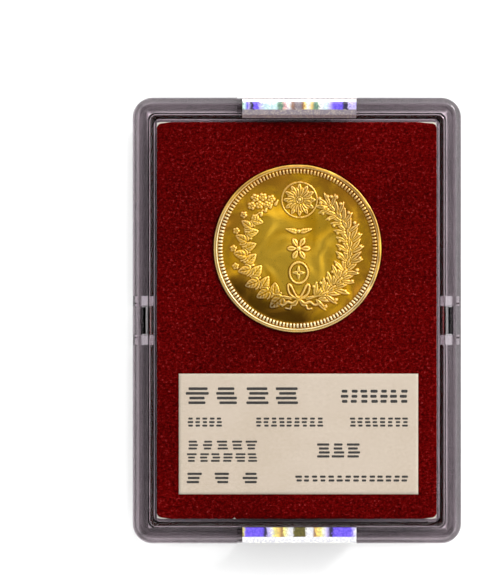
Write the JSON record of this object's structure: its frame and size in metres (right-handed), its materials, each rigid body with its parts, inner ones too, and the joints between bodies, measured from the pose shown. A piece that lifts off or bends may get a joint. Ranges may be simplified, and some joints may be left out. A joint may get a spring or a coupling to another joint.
{
  "type": "graded coin slab",
  "caption": "Clear snap-shut display slab that seals a gold coin in a red velvet insert, above a paper label, with side latches and foil seals.",
  "frame": {"origin": "middle of the flat rear rim that the case lies on, which is the bottom centre of its box", "axes": "+Y towards the case's top edge, along its height; +Z out of the front window, across its thickness; +X to the right as the window is read"},
  "size_m": [0.056, 0.076, 0.008],
  "materials": {
    "clear_case": "clear polished polycarbonate",
    "gold": "struck gold alloy with a satin lustre",
    "velvet": "short red pile",
    "board": "white pressed card",
    "label": "uncoated cream paper",
    "foil_seal": "iridescent silver foil"
  },
  "bodies": {
    "rear_case": {"rear_cover": "clear_case", "latch_left": "clear_case", "latch_right": "clear_case", "top_seal_rear_leaf": "foil_seal", "bottom_seal_rear_leaf": "foil_seal"},
    "insert": {"insert_board": "board", "front_velvet": "velvet", "rear_velvet": "velvet", "label_card": "label"},
    "coin": {"coin": "gold"},
    "front_case": {"front_cover": "clear_case", "top_seal_front_leaf": "foil_seal", "bottom_seal_front_leaf": "foil_seal"}
  },
  "joints": [
    {"name": "insert_lift", "type": "slide", "parent": "rear_case", "child": "insert", "axis": [0, 0, 1], "range_m": [0, 0.012]},
    {"name": "coin_lift", "type": "slide", "parent": "insert", "child": "coin", "axis": [0, 0, 1], "range_m": [0, 0.01]},
    {"name": "cover_lift", "type": "slide", "parent": "coin", "child": "front_case", "axis": [0, 0, 1], "range_m": [0, 0.02], "deforming": ["latch_left", "latch_right"]}
  ]
}
